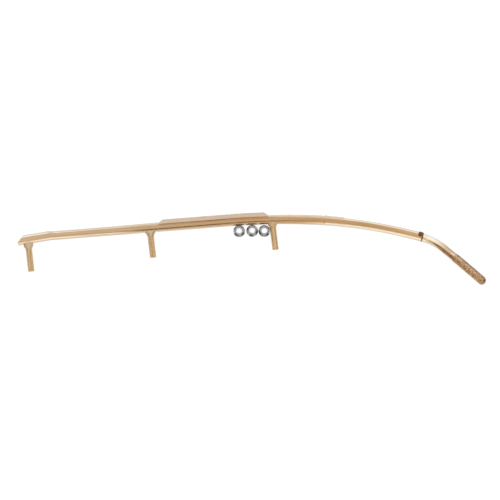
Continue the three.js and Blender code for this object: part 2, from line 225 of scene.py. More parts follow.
def piece(name, straight, faces, material, body, stands_for=(), lay=None, fields=None,
          ease=0.0, ease_angle=40, sharp_angle=35):
    """A mesh piece. straight is kept as an attribute for its grain, and lay puts it in place."""
    mesh = bpy.data.meshes.new(name)
    mesh.from_pydata([tuple(p) for p in straight], [], faces)
    values = {"straight": straight}
    values.update(fields or {})
    for key, value in values.items():
        kind = "FLOAT_VECTOR" if value.ndim == 2 else "FLOAT"
        attribute = mesh.attributes.new(key, kind, "POINT")
        attribute.data.foreach_set("vector" if value.ndim == 2 else "value", value.ravel().astype(float))
    if ease:
        work = bmesh.new()
        work.from_mesh(mesh)
        limit = math.radians(ease_angle)
        edges = [e for e in work.edges if len(e.link_faces) == 2 and e.calc_face_angle(0) > limit]
        bmesh.ops.bevel(work, geom=edges, offset=ease, segments=3, profile=0.5, affect="EDGES")
        work.to_mesh(mesh)
        work.free()
    if lay:
        co = np.empty(len(mesh.vertices) * 3)
        mesh.vertices.foreach_get("co", co)
        placed = lay(co.reshape(-1, 3))
        mesh.vertices.foreach_set("co", placed.ravel())
        mesh.update()
    mesh.validate()
    mesh.polygons.foreach_set("use_smooth", [True] * len(mesh.polygons))
    mesh.set_sharp_from_angle(angle=math.radians(sharp_angle))
    obj = bpy.data.objects.new(name, mesh)
    bpy.context.scene.collection.objects.link(obj)
    obj.data.materials.append(material)
    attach(obj, body)
    if stands_for:
        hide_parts(*stands_for)


# ---- materials ----


class Finish:
    """Builds one material, with any noise laid on the piece's straight coordinates."""

    def __init__(self, name, color, roughness, metallic=1.0):
        self.material = bpy.data.materials.new(name)
        self.material.use_nodes = True
        self.tree = self.material.node_tree
        self.shader = self.tree.nodes["Principled BSDF"]
        self.shader.inputs["Metallic"].default_value = metallic
        self.color = self.constant(color)
        self.roughness = self.number(roughness)
        self.heights = []

    def node(self, kind, **settings):
        made = self.tree.nodes.new(kind)
        for key, value in settings.items():
            setattr(made, key, value)
        return made

    def link(self, source, target):
        self.tree.links.new(source, target)

    def constant(self, color):
        made = self.node("ShaderNodeRGB")
        made.outputs[0].default_value = (*color, 1)
        return made.outputs[0]

    def number(self, value):
        made = self.node("ShaderNodeValue")
        made.outputs[0].default_value = value
        return made.outputs[0]

    def field(self, name):
        made = self.node("ShaderNodeAttribute", attribute_name=name)
        return made.outputs["Fac"]

    def place(self, scale=(1, 1, 1)):
        """The straight coordinate, scaled per axis: small along x draws it out along the bar."""
        source = self.node("ShaderNodeAttribute", attribute_name="straight")
        mapping = self.node("ShaderNodeMapping")
        mapping.inputs["Scale"].default_value = scale
        self.link(source.outputs["Vector"], mapping.inputs["Vector"])
        return mapping.outputs["Vector"]

    def grain(self, size, detail=3.0, stretch=(1, 1, 1), distortion=0.0):
        """Noise with lumps of about this size in metres."""
        made = self.node("ShaderNodeTexNoise")
        made.inputs["Scale"].default_value = 1 / size
        made.inputs["Detail"].default_value = detail
        made.inputs["Distortion"].default_value = distortion
        self.link(self.place(stretch), made.inputs["Vector"])
        return made.outputs["Fac"]

    def remap(self, source, low, high, to_low=0.0, to_high=1.0):
        made = self.node("ShaderNodeMapRange", interpolation_type="SMOOTHSTEP")
        made.inputs["From Min"].default_value = low
        made.inputs["From Max"].default_value = high
        made.inputs["To Min"].default_value = to_low
        made.inputs["To Max"].default_value = to_high
        self.link(source, made.inputs["Value"])
        return made.outputs["Result"]

    def times(self, a, b):
        made = self.node("ShaderNodeMath", operation="MULTIPLY")
        self.link(a, made.inputs[0])
        if isinstance(b, float):
            made.inputs[1].default_value = b
        else:
            self.link(b, made.inputs[1])
        return made.outputs[0]

    def tint(self, color, amount):
        """Mixes the colour toward another by a factor from nodes."""
        made = self.node("ShaderNodeMix", data_type="RGBA")
        self.link(amount, made.inputs["Factor"])
        self.link(self.color, made.inputs["A"])
        made.inputs["B"].default_value = (*color, 1)
        self.color = made.outputs["Result"]

    def shade(self, amount):
        """Multiplies the colour by a grey factor from nodes."""
        made = self.node("ShaderNodeVectorMath", operation="SCALE")
        self.link(self.color, made.inputs["Vector"])
        self.link(amount, made.inputs["Scale"])
        self.color = made.outputs["Vector"]

    def roughen(self, amount):
        made = self.node("ShaderNodeMath", operation="ADD")
        made.use_clamp = True
        self.link(self.roughness, made.inputs[0])
        self.link(amount, made.inputs[1])
        self.roughness = made.outputs[0]

    def raise_by(self, height, distance):
        self.heights.append((height, distance))

    def edges(self, color, amount):
        """Wear on convex edges."""
        geometry = self.node("ShaderNodeNewGeometry")
        self.tint(color, self.times(self.remap(geometry.outputs["Pointiness"], 0.52, 0.6), amount))

    def done(self):
        normal = None
        for height, distance in self.heights:
            bump = self.node("ShaderNodeBump")
            bump.inputs["Distance"].default_value = distance
            self.link(height, bump.inputs["Height"])
            if normal:
                self.link(normal, bump.inputs["Normal"])
            normal = bump.outputs["Normal"]
        if normal:
            self.link(normal, self.shader.inputs["Normal"])
        self.link(self.color, self.shader.inputs["Base Color"])
        self.link(self.roughness, self.shader.inputs["Roughness"])
        return self.material


PALE_GOLD = (0.90, 0.74, 0.57)
DEEP_GOLD = (0.80, 0.565, 0.345)
HEAT_TINT_AND_SHADE = (0.76, 0.53, 0.33)
ROSE = (0.88, 0.60, 0.47)
OLIVE = (0.74, 0.66, 0.44)
LILAC = (0.66, 0.58, 0.56)
PAINTED_HIGHLIGHT_GOLD = (0.96, 0.82, 0.65)
PAINTED_DARK_BROWN = (0.44, 0.28, 0.155)


def iridescence(finish, strength):
    """The drifting pink and green of yellow chromate over zinc."""
    drift = finish.grain(14 * MM, detail=2, stretch=(0.5, 1, 1), distortion=1.2)
    finish.tint(ROSE, finish.remap(drift, 0.52, 0.72, 0.0, strength))
    finish.tint(OLIVE, finish.remap(drift, 0.48, 0.3, 0.0, strength))


def draw_lines(finish):
    """Fine lines along a drawn bar."""
    fine = finish.grain(0.35 * MM, detail=2, stretch=(0.012, 1, 1))
    broad = finish.grain(1.3 * MM, detail=2, stretch=(0.02, 1, 1))
    finish.raise_by(fine, 0.006 * MM)
    finish.shade(finish.remap(broad, 0.3, 0.7, 0.86, 1.07))
    finish.roughen(finish.remap(fine, 0.3, 0.7, -0.04, 0.06))


def pits(finish, amount):
    """Specks and dull spots in the plating."""
    specks = finish.grain(0.5 * MM, detail=4)
    finish.shade(finish.remap(specks, 0.28, 0.42, 1 - amount, 1.0))
    finish.raise_by(specks, 0.01 * MM)


def plated_bar():
    """Yellow plate over a drawn bar, browner where the braze heated it and darker there as painted shade,
    with painted crease shade beside the keel, a painted dark line on the tail and painted highlights on its
    sides.
    """
    finish = Finish("plated_bar", PALE_GOLD, 0.15)
    finish.tint(DEEP_GOLD, finish.field("gold"))
    # Browner round the keel from the braze heat, and darker there as painted shade.
    finish.tint(HEAT_TINT_AND_SHADE, finish.field("heat"))
    finish.tint(LILAC, finish.field("bluing"))
    # Painted highlight: paler bands on the bar's sides toward the front.
    finish.tint(PAINTED_HIGHLIGHT_GOLD, finish.field("pale"))
    # Painted shade in the crease beside the keel's foot, and a painted dark line along the tail.
    finish.tint(PAINTED_DARK_BROWN, finish.times(finish.field("scorch"), 0.62))
    iridescence(finish, 0.18)
    draw_lines(finish)
    pits(finish, 0.12)
    cloud = finish.grain(5 * MM, detail=3, stretch=(0.4, 1, 1))
    finish.roughen(finish.remap(cloud, 0.35, 0.7, -0.03, 0.07))
    finish.roughen(finish.times(finish.field("heat"), 0.08))
    return finish.done()


def plated_piece(name, color, roughness, shade):
    finish = Finish(name, color, roughness)
    iridescence(finish, 0.2)
    pits(finish, shade)
    blotches = finish.grain(2.2 * MM, detail=3)
    finish.shade(finish.remap(blotches, 0.3, 0.7, 1 - shade, 1.04))
    finish.roughen(finish.remap(blotches, 0.3, 0.7, 0.06, -0.04))
    finish.edges((0.93, 0.80, 0.62), 0.5)
    return finish.done()


def plated_stud():
    """Rolled thread, with dark reflection lines painted along it."""
    finish = Finish("plated_stud", (1.0, 0.73, 0.43), 0.27, metallic=0.75)
    # Dark lines painted along the stud for its reflections.
    finish.tint((0.47, 0.29, 0.15), finish.field("rubbed"))
    blotches = finish.grain(4 * MM, detail=2, stretch=(0.3, 1, 1))
    finish.shade(finish.remap(blotches, 0.3, 0.7, 0.93, 1.03))
    finish.roughen(finish.remap(blotches, 0.3, 0.7, 0.04, -0.03))
    finish.edges((0.96, 0.82, 0.62), 0.4)
    return finish.done()


def forged_nose():
    """Smooth plate at the neck, and forging scale with dark and light flecks past the step, under the
    painted highlights, shade and reflections of the nose's fields.
    """
    finish = Finish("forged_nose", (0.90, 0.70, 0.49), 0.15)
    # Painted highlight on the neck, and a painted glint just before the step.
    finish.tint((0.95, 0.86, 0.77), finish.field("pale"))
    rough = finish.field("rough")
    finish.tint((0.70, 0.49, 0.31), finish.field("tanned"))
    finish.tint((0.74, 0.49, 0.28), rough)
    # Painted shade on the ski side of the nose.
    finish.tint((0.60, 0.34, 0.155), finish.field("ochre"))
    # Painted highlight band along the rough end.
    finish.tint((0.98, 0.70, 0.44), finish.field("rubbed"))
    scale = finish.grain(1.5 * MM, detail=4, distortion=0.5)
    broad = finish.grain(3.2 * MM, detail=3, distortion=0.4)
    finish.tint((0.44, 0.28, 0.15), finish.times(finish.remap(broad, 0.38, 0.6, 0.7, 0.0), rough))
    finish.tint((0.24, 0.14, 0.07), finish.times(finish.remap(scale, 0.36, 0.48, 0.9, 0.0), rough))
    finish.tint((0.93, 0.74, 0.52), finish.times(finish.remap(scale, 0.53, 0.66, 0.0, 0.7), rough))
    uneven = finish.remap(broad, 0.2, 0.8, 1.0, 0.7)
    # Painted dark streak and dark edge line, broken up by the scale.
    finish.tint((0.20, 0.11, 0.05), finish.times(uneven, finish.field("scorch")))
    finish.roughen(finish.times(rough, 0.14))
    finish.raise_by(finish.times(scale, rough), 0.10 * MM)
    iridescence(finish, 0.2)
    pits(finish, 0.1)
    return finish.done()


def weld_metal(name, color, roughness, soot=None, metallic=1.0, sheen=0.0, relief=0.04 * MM):
    finish = Finish(name, color, roughness, metallic)
    scale = finish.grain(1.1 * MM, detail=4, distortion=0.4)
    finish.shade(finish.remap(scale, 0.3, 0.7, 0.84, 1.04))
    finish.roughen(finish.remap(scale, 0.3, 0.7, 0.1, -0.05))
    finish.raise_by(scale, relief)
    if soot:
        patches = finish.grain(3.5 * MM, detail=3)
        finish.tint(soot, finish.remap(patches, 0.42, 0.6, 0.0, 0.85))
    if sheen:
        iridescence(finish, sheen)
    finish.edges((0.92, 0.76, 0.56), 0.35)
    return finish.done()


def bright_zinc():
    """White zinc plate, with dark reflections painted from the field of that name."""
    finish = Finish("bright_zinc", (0.82, 0.89, 0.98), 0.18, metallic=0.75)
    smear = finish.grain(1.5 * MM, detail=3)
    finish.shade(finish.remap(smear, 0.3, 0.7, 0.84, 1.04))
    finish.tint((0.66, 0.71, 0.78), finish.remap(smear, 0.55, 0.75, 0.0, 0.35))
    finish.roughen(finish.remap(smear, 0.3, 0.7, -0.03, 0.08))
    patchy = finish.remap(smear, 0.25, 0.75, 1.0, 0.75)
    # Painted dark reflections on the nut's sides, broken up by the patches.
    finish.tint((0.03, 0.032, 0.036), finish.times(patchy, finish.field("dull")))
    finish.raise_by(finish.grain(0.3 * MM, detail=3), 0.008 * MM)
    finish.edges((0.88, 0.89, 0.9), 0.5)
    return finish.done()


def milky_nylon():
    finish = Finish("nylon", (0.72, 0.76, 0.82), 0.42, metallic=0.0)
    cloud = finish.grain(1.2 * MM, detail=3)
    finish.tint((0.50, 0.53, 0.58), finish.remap(cloud, 0.4, 0.7, 0.0, 0.6))
    finish.roughen(finish.remap(cloud, 0.3, 0.7, -0.06, 0.1))
    finish.raise_by(finish.grain(0.25 * MM, detail=2), 0.01 * MM)
    finish.shader.inputs["Subsurface Weight"].default_value = 0.25
    finish.shader.inputs["Subsurface Scale"].default_value = 0.6 * MM
    return finish.done()


BAR_FINISH = plated_bar()
NOSE_FINISH = forged_nose()
KEEL_FINISH = plated_piece("plated_keel", (0.80, 0.61, 0.455), 0.28, 0.08)
CARBIDE_FINISH = plated_piece("carbide", (0.76, 0.61, 0.48), 0.32, 0.1)
STUD_FINISH = plated_stud()
WELD_FINISH = weld_metal("plated_weld", (1.0, 0.85, 0.67), 0.4, metallic=0.65, sheen=0.1)
GOLD_FLARE_FINISH = weld_metal("gold_flare", (1.0, 0.79, 0.50), 0.42, metallic=0.35)
PALE_FLARE_FINISH = weld_metal("pale_flare", (1.0, 0.86, 0.66), 0.27, metallic=0.6, relief=0.015 * MM)
BURNT_FINISH = weld_metal("burnt_weld", (0.36, 0.18, 0.075), 0.4, soot=(0.13, 0.055, 0.022))
BRAZE_FINISH = weld_metal("braze", (0.50, 0.33, 0.20), 0.34, sheen=0.1)
ZINC_FINISH = bright_zinc()
NYLON_FINISH = milky_nylon()


# ---- the bar ----

TAIL_SWELL = 0.75 * MM
TAIL_SWELL_ENDS = bar_line.reach(-274 * MM)
PAD_AT = bar_line.reach(109.3 * MM)
keel_end = KEEL_AT + KEEL_LENGTH


def bar_radius(s, angle):
    """The bar's radius by station and by angle from outward toward up."""
    wear = np.clip(np.cos(angle), 0, 1)
    swell = TAIL_SWELL * (1 - ramp(s, TAIL_SWELL_ENDS - 5 * MM, TAIL_SWELL_ENDS + 3 * MM))
    nick = 0.12 * MM * hump(s, TAIL_SWELL_ENDS + 4 * MM, 5 * MM)
    radius = BAR_RADIUS + (swell - nick) * wear
    for degrees, depth in ((57, 0.035), (74, 0.018), (98, 0.03), (121, 0.02), (-50, 0.03), (-96, 0.03)):
        radius -= depth * MM * hump(np.degrees(angle), degrees, 2.2)
    radius += 0.18 * MM * hump(s, PAD_AT, 1.2 * MM)
    return radius


def bar_fields(straight):
    """Where the plate is gold, heated or blued, and where shade, dark lines and highlights are painted on
    it, at the bar's straight points.
    """
    s, out, _ = straight.T
    x = bar_line.at(s)[0][:, 0]
    front = middle_of("stud_front").x
    middle = middle_of("stud_middle").x
    keel_low, keel_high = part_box("keel_blade")
    gold = ramp(x, -0.30, 0.10)
    # Browner round the keel from the braze heat, and darker there as painted shade.
    heat = ramp(x, keel_low.x - 0.05, keel_low.x + 0.02)
    heat *= 1 - ramp(x, keel_high.x + 0.03, keel_high.x + 0.08)
    cloud = lumps(straight * (0.3, 1, 1), 6 * MM, 3.1)
    heat = np.clip(heat * (0.75 + 0.5 * cloud), 0, 1)
    bluing = hump(x, front, 2.6 * MM) * hump(out, -1.0 * MM, 3.2 * MM) * 0.8
    bluing += hump(x, middle, 3 * MM) * hump(out, -4 * MM, 2 * MM) * 0.35
    # Painted highlights: paler bands on both sides of the bar toward the front.
    sides = ramp(-out, 1.6 * MM, 3.0 * MM) + ramp(out, 2.8 * MM, 4.0 * MM)
    pale = sides * ramp(x, 0.065, 0.12)
    # Painted shade in the crease beside the keel's foot, and a painted dark line along the tail.
    brazed = ramp(x, keel_low.x - 0.01, keel_low.x + 0.01)
    brazed *= 1 - ramp(x, keel_high.x - 0.01, keel_high.x + 0.02)
    foot = ramp(out, 0.0, 2.2 * MM) * (1 - ramp(out, 3.9 * MM, 4.6 * MM))
    scorch = brazed * foot * (0.8 + 0.3 * cloud)
    scorch += 0.45 * hump(out, 2.6 * MM, 0.4 * MM) * (1 - ramp(x, -0.17, -0.14))
    return {
        "gold": gold,
        "heat": heat,
        "pale": pale,
        "scorch": np.clip(scorch, 0, 1),
        "bluing": np.clip(bluing * (1 + 0.6 * cloud), 0, 1),
    }


def host_bar():
    crease = math.acos((TAIL_LIP - BAR_RADIUS) / BAR_RADIUS)
    facing = np.linspace(-crease, crease, 49)
    behind = np.linspace(crease, 2 * math.pi - crease, 32)[1:-1]
    angle = np.concatenate([facing, behind])
    angle = np.where(angle > math.pi, angle - 2 * math.pi, angle)
    outward = BAR_RADIUS * np.cos(angle)
    starts = np.maximum(outward + BAR_RADIUS - TAIL_LIP, 0) * math.tan(TAIL_BEVEL)
    settled = 26 * MM
    early = np.linspace(0, settled, 27)[:, None]
    late = np.linspace(settled, bar_line.length, 470)[1:, None]
    s = np.concatenate([starts + early * (1 - starts / settled), late + 0 * starts])
    around = angle + 0 * s
    radius = bar_radius(s, around)
    bowed = lumps(np.stack([s * 0.35, 0 * s, around * BAR_RADIUS * 0.5], -1), 11 * MM, 7.7, 2)
    radius += 0.02 * MM * bowed
    radius[0] = bar_radius(s[0], around[0])  # the cut tail isn't bowed
    grid = np.stack([s, radius * np.cos(around), radius * np.sin(around)], -1)
    points, faces = tube(grid)
    front_end = faces.pop()
    faces.pop()
    bevelled = range(len(facing))
    lip = [len(facing) - 1, *range(len(facing), len(angle)), 0]
    faces += [tuple(reversed(bevelled)), tuple(reversed(lip)), front_end]
    piece("bar", points, faces, BAR_FINISH, "runner", ["host_bar"], bar_line.lay,
          bar_fields(points), ease=0.35 * MM, ease_angle=30)


# ---- the nose ----

step_end = NOSE_STEP_AT + 2 * MM
dome_at = nose_line.length - NOSE_TIP_RADIUS


def nose_fields(s, degrees, rough):
    """Where the nose is rough or tanned, and where dark streaks, side shade, a glint, highlights and
    reflections are painted on it, by station and by angle.
    """
    # Painted dark streak on the upper ski side of the neck, up to the step.
    streak = ramp(s, 17 * MM, 36 * MM) * (1 - ramp(s, NOSE_STEP_AT - 2 * MM, NOSE_STEP_AT + 1 * MM))
    streak *= ramp(degrees, 92, 100) * (1 - ramp(degrees, 138, 150))
    # Painted dark line along the wear-side edge.
    line = (0.35 * ramp(s, 24 * MM, 36 * MM) + 0.45 * rough) * hump(degrees, 36, 14)
    line *= 1 - ramp(s, dome_at - 4 * MM, dome_at + 4 * MM)
    # Painted glint just before the step, and a painted highlight over the neck that is weaker on the ski
    # side.
    glint = hump(s, NOSE_STEP_AT - 1.5 * MM, 1.6 * MM) * hump(degrees, 82, 14)
    pale = (1 - ramp(s, 15 * MM, 33 * MM)) * (1 - 0.7 * ramp(degrees, 108, 135)) + glint
    fields = {
        "rough": rough * (1 - glint),
        "scorch": (0.64 * streak + line) * (1 - glint),
        "pale": np.clip(pale, 0, 1),
        "tanned": 0.85 * ramp(s, 26 * MM, 42 * MM) * (1 - glint),
        # Painted shade on the ski side.
        "ochre": (0.5 * ramp(s, 26 * MM, 36 * MM) + 0.45 * rough) * ramp(degrees, 118, 136),
        # Painted highlight band along the rough end.
        "rubbed": 0.8 * rough * hump(degrees, 106, 12),
    }
    return {key: value.ravel() for key, value in fields.items()}


def nose_rod():
    """A neck that narrows, with two flats pressed in it, a small step, and a rough round end."""
    shank = np.linspace(0, dome_at, 125)
    t = np.clip(shank / NOSE_STEP_AT, 0, 1)
    radius = NOSE_NECK_RADIUS + (NOSE_WAIST_RADIUS - NOSE_NECK_RADIUS) * np.sin(t * math.pi / 2)
    radius += (NOSE_TIP_RADIUS - NOSE_WAIST_RADIUS) * ramp(shank, NOSE_STEP_AT, step_end)
    turn = np.linspace(0, math.pi / 2, 16)[1:-1]
    s = np.concatenate([shank, dome_at + NOSE_TIP_RADIUS * np.sin(turn)])
    radius = np.concatenate([radius, NOSE_TIP_RADIUS * np.cos(turn)])
    angle = np.linspace(-math.pi, math.pi, 73)[:-1]
    s, around = np.meshgrid(s, angle, indexing="ij")
    radius = np.repeat(radius[:, None], len(angle), 1)
    flats = ramp(s, 2 * MM, 9 * MM) * (1 - ramp(s, NOSE_STEP_AT - 7 * MM, NOSE_STEP_AT - 1 * MM))
    for facing, half in ((math.radians(70), math.radians(27)), (math.radians(118), math.radians(18))):
        off = np.clip(np.abs(around - facing), 0, half)
        radius *= 1 + flats * (math.cos(half) / np.cos(off) - 1)
    grid = np.stack([s, radius * np.cos(around), radius * np.sin(around)], -1)
    rough = ramp(s, NOSE_STEP_AT + 0.5 * MM, step_end + 2 * MM)
    dents = lumps(grid, 2.6 * MM, 1.7) * 0.2 * MM + lumps(grid, 1.0 * MM, 5.2, 2) * 0.09 * MM
    fade = np.minimum(1, radius / NOSE_TIP_RADIUS * 1.5)
    grown = 1 + (rough * fade * dents + (1 - rough) * lumps(grid, 16 * MM, 4.4, 2) * 0.03 * MM) / radius
    grid[..., 1:] *= grown[..., None]
    points, faces = tube(grid)
    piece("nose", points, faces, NOSE_FINISH, "runner", ["nose_rod"], nose_line.lay,
          nose_fields(s, np.degrees(around), rough), ease=0.45 * MM, ease_angle=60)


# ---- welds on the bar ----


RIPPLE_PITCH = 1.9 * MM


def bead(name, node, start, end, half_angle, height, finish, seed, ripple):
    """A rippled bead on the bar's wear side. height(t) goes from its rear, t = 0, to its front."""
    rows, across = max(16, int((end - start) / (0.45 * MM))), 27
    t = np.linspace(0, 1, rows)[:, None]
    u = np.linspace(-1, 1, across)[None, :]
    s = start + (end - start) * t + 0 * u
    wander = lumps(np.stack([s, 0 * s, 0 * s], -1), 4 * MM, seed, 2)
    reach = half_angle * (1 + 0.05 * wander)
    angle = reach * u
    ends = np.clip(np.minimum(t, 1 - t) * (end - start) / (1.2 * MM), 0, 1) ** 0.5
    crown = np.cos(u * math.pi / 2) ** 0.7
    scallop = np.abs(np.sin(np.pi * (s + 1.1 * MM * (1 - u * u)) / RIPPLE_PITCH))
    rise = height(t) * crown * ends + ripple * (scallop - 0.5) * crown * ends
    rise += 0.05 * MM * lumps(np.stack([s, angle * BAR_RADIUS, 0 * s], -1), 1.6 * MM, seed + 9) * crown
    top = BAR_RADIUS + 0.02 * MM + rise
    under = np.full_like(top, BAR_RADIUS - 0.35 * MM)[:, 1:-1]
    radius = np.concatenate([top, under[:, ::-1]], 1)
    angle = np.concatenate([angle, angle[:, 1:-1][:, ::-1]], 1)
    s = np.concatenate([s, s[:, 1:-1][:, ::-1]], 1)
    grid = np.stack([s, radius * np.cos(angle), radius * np.sin(angle)], -1)
    points, faces = tube(grid)
    piece(name, points, faces, finish, "runner", [node], bar_line.lay)


def hardfacing():
    rear = bar_line.reach(-185 * MM)
    front = bar_line.reach(106.5 * MM)
    pad = bar_line.reach(135 * MM)
    bead("hardfacing_bead_rear", "hardfacing_rear", rear, KEEL_AT - SEAM, math.radians(48),
         lambda t: (0.25 + 0.6 * t) * MM, WELD_FINISH, 1.3, 0.03 * MM)
    bead("hardfacing_bead_front", "hardfacing_front", keel_end + SEAM, front, math.radians(52),
         lambda t: (0.45 + 0.75 * t) * MM, WELD_FINISH, 2.9, 0.05 * MM)
    bead("hardfacing_bead_pad", "hardfacing_pad", front + SEAM, pad, math.radians(50),
         lambda t: (1.05 + 0.75 * np.exp(-5 * t)) * MM, WELD_FINISH, 4.1, 0.05 * MM)


def nose_weld():
    """A burnt lump on the wear side of the joint, and the root run that goes right round it."""
    length = bar_line.length
    bead("nose_weld_lump", "nose_weld", length - 6.2 * MM, length + 1.2 * MM, math.radians(94),
         lambda t: (0.3 + 0.6 * np.sin(np.pi * t)) * MM, BURNT_FINISH, 6.7, 0.16 * MM)
    around = np.linspace(-math.pi, math.pi, 121)[:-1]
    section = np.linspace(0, 2 * math.pi, 13)[:-1]
    theta, phi = np.meshgrid(section, around, indexing="ij")
    wide = 0.7 * MM + 0.1 * MM * lumps(np.stack([phi * BAR_RADIUS, 0 * phi, 0 * phi], -1), 2 * MM, 3.3)
    wide += 0.45 * MM * hump(np.degrees(phi), 110, 40)
    s = length + SEAM / 2 + wide * np.cos(theta)
    radius = BAR_RADIUS - 0.3 * MM + 0.5 * MM * np.sin(theta)
    grid = np.stack([s, radius * np.cos(phi), radius * np.sin(phi)], -1)[::-1]
    points, faces = ring_tube(grid)
    piece("nose_weld_root", points, faces, BURNT_FINISH, "runner", (), bar_line.lay)


# ---- the keel and its carbide ----

FOOT_RADIUS = BAR_RADIUS + SEAM
foot_out = FOOT_RADIUS * math.cos(KEEL_FOOT_ANGLE)
foot_up = FOOT_RADIUS * math.sin(KEEL_FOOT_ANGLE)
flank_slope = foot_up / (KEEL_HEIGHT - foot_out)
ramp_run = (KEEL_HEIGHT - FOOT_RADIUS) / math.tan(KEEL_RAMP)
seat_start = KEEL_AT + ramp_run
seat_end = keel_end - ramp_run


def keel():
    """A V of steel whose crest is grooved for the carbide, with a sloping face at each end."""
    widest = KEEL_HEIGHT - CARBIDE_DEPTH - 0.1 * MM
    root = widest - CARBIDE_ROOT
    inset = 0.05 * MM
    s = np.concatenate([
        np.linspace(KEEL_AT + inset, seat_start, 9)[:-1],
        np.linspace(seat_start, seat_start + 0.4 * MM, 2)[:-1],
        np.linspace(seat_start + 0.4 * MM, seat_end - 0.4 * MM, 150),
        np.linspace(seat_end, keel_end - inset, 9),
    ])
    rows = []
    for station in s:
        limit = FOOT_RADIUS + min(station - KEEL_AT, keel_end - station) * math.tan(KEEL_RAMP)
        grooved = seat_start < station < seat_end
        top = min(limit, widest if grooved else KEEL_HEIGHT - inset)
        side = (KEEL_HEIGHT - top) * flank_slope
        bottom = root if grooved else top
        flank = np.linspace(0, 1, 6)[:, None]
        left = np.array([[foot_out - 0.5 * MM, -foot_up + 0.45 * MM]])
        outer = np.array([foot_out, -foot_up]) + flank * np.array([top - foot_out, foot_up - side])
        inner = np.array([[bottom + (top - bottom) * 0.5, -side * 0.5], [bottom, 0.0]])
        half = np.concatenate([left, outer, inner])
        other = half[:-1][::-1] * (1, -1)
        rows.append(np.concatenate([half, other]))
    section = np.array(rows)
    stations = np.repeat(s[:, None], section.shape[1], 1)
    grid = np.stack([stations, section[..., 0], section[..., 1]], -1)
    grid[..., 1] += 0.03 * MM * lumps(grid * (0.3, 1, 1), 4 * MM, 8.8, 2)
    points, faces = tube(grid)
    piece("keel", points, faces, KEEL_FINISH, "runner", ["keel_blade"], bar_line.lay)


def carbides():
    """Diamond bars set end to end in the keel's crest, worn a little unevenly."""
    pitch = (seat_end - seat_start) / CARBIDE_COUNT
    widest = KEEL_HEIGHT - CARBIDE_DEPTH
    side = CARBIDE_DEPTH * flank_slope
    blunt = 0.16 * MM
    for i in range(CARBIDE_COUNT):
        start = seat_start + i * pitch + 0.04 * MM
        s = np.linspace(start, start + pitch - 0.08 * MM, 40)
        wear = 0.06 * MM * lumps(np.stack([s, 0 * s, 0 * s], -1), 5 * MM, 2.2 + i, 2)
        outline = [
            (KEEL_HEIGHT - blunt, -blunt * flank_slope), (KEEL_HEIGHT - 0.04 * MM, 0),
            (KEEL_HEIGHT - blunt, blunt * flank_slope),
            (widest + 0.12 * MM, side), (widest - 0.12 * MM, side * 0.98), (widest - CARBIDE_ROOT, 0),
            (widest - 0.12 * MM, -side * 0.98), (widest + 0.12 * MM, -side),
        ]
        section = np.array(outline)
        out = section[:, 0] + 0 * s[:, None]
        out[:, :3] += wear[:, None] - 0.03 * MM * (i % 2)
        up = section[:, 1] + 0 * s[:, None]
        grid = np.stack([s[:, None] + 0 * out, out, up], -1)
        points, faces = tube(grid)
        piece(f"carbide_{i + 1}", points, faces, CARBIDE_FINISH, "runner", [f"carbide_insert_{i + 1}"],
              bar_line.lay, ease=0.1 * MM, ease_angle=30)


def braze_fillets():
    """The wavy run of braze along each foot of the keel."""
    for name, sign in (("braze_top", 1), ("braze_under", -1)):
        s = np.linspace(KEEL_AT - 0.8 * MM, keel_end + 0.8 * MM, 330)[:, None]
        around = np.linspace(0, 2 * math.pi, 11)[:-1][None, :]
        wave = lumps(np.concatenate([s, 0 * s, 0 * s], 1), 7 * MM, 5.5 * sign, 3)[:, None]
        ends = np.clip(np.minimum(s - s[0], s[-1] - s) / (1.5 * MM), 0.05, 1) ** 0.5
        size = (0.55 + 0.18 * wave) * MM * ends
        angle = KEEL_FOOT_ANGLE + math.radians(1.2) + math.radians(1.6) * wave
        seat = BAR_RADIUS + 0.08 * MM
        out = seat * np.cos(angle) + size * np.cos(around)
        up = sign * (seat * np.sin(angle) + size * np.sin(around))
        grid = np.stack([s + 0 * out, out, up], -1)
        if sign < 0:
            grid = grid[:, ::-1]
        points, faces = tube(grid)
        piece(name, points, faces, BRAZE_FINISH, "runner", (), bar_line.lay)


# ---- studs ----


def thread_height(phase):
    """0 at the root and 1 at the crest of a unified thread, by phase from 0 to 1."""
    from_crest = np.abs((phase + 0.5) % 1 - 0.5) * 2
    return ramp(1 - from_crest, 0.12, 0.82)


def studs():
    """Threaded studs, from inside their welds down to a chamfered tip."""
    for name in STUD_WELDS:
        middle = middle_of(f"stud_{name}")
        root = bar_line.at(bar_line.reach(middle.x))[0][1] - BAR_RADIUS + 0.5 * MM
        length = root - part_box(f"stud_{name}")[0].y
        d = np.linspace(0, length, int(length / (THREAD_PITCH / 11)))[:, None]
        angle = np.linspace(0, 2 * math.pi, 49)[:-1][None, :]
        phase = d / THREAD_PITCH + angle / (2 * math.pi)
        chamfer = THREAD_MAJOR - np.clip(d - (length - 1.0 * MM), 0, None) * 0.9
        start = ramp(d, 3.2 * MM, 5.5 * MM)
        cut = THREAD_DEPTH * (1 - thread_height(phase)) * start
        radius = np.minimum(THREAD_MAJOR - 0.03 * MM - cut, chamfer)
        rim = 3 * MM * np.stack([np.cos(angle) + 0 * d, np.sin(angle) + 0 * d], -1)
        spots = np.concatenate([(d + 0 * angle)[..., None], rim], -1)
        radius += 0.015 * MM * lumps(spots, 2.5 * MM, middle.x * 50, 2)
        straight = np.stack([d + 0 * angle, radius * np.cos(angle), radius * np.sin(angle)], -1)
        points, faces = tube(straight)

        def lay(p, x=middle.x, y=root):
            return np.stack([x - p[:, 1], y - p[:, 0], BAR_HEIGHT + p[:, 2]], -1)

        # Painted dark reflection lines along the stud.
        rubbed = sum(dark * hump(points[:, 1], at * MM, wide * MM) for at, wide, dark in STUD_REFLECTION_LINES[name])
        piece(f"threaded_stud_{name}", points, faces, STUD_FINISH, "runner", [f"stud_{name}"],
              lay, {"rubbed": np.clip(rubbed, 0, 1)}, ease=0.15 * MM, ease_angle=75,
              sharp_angle=60)


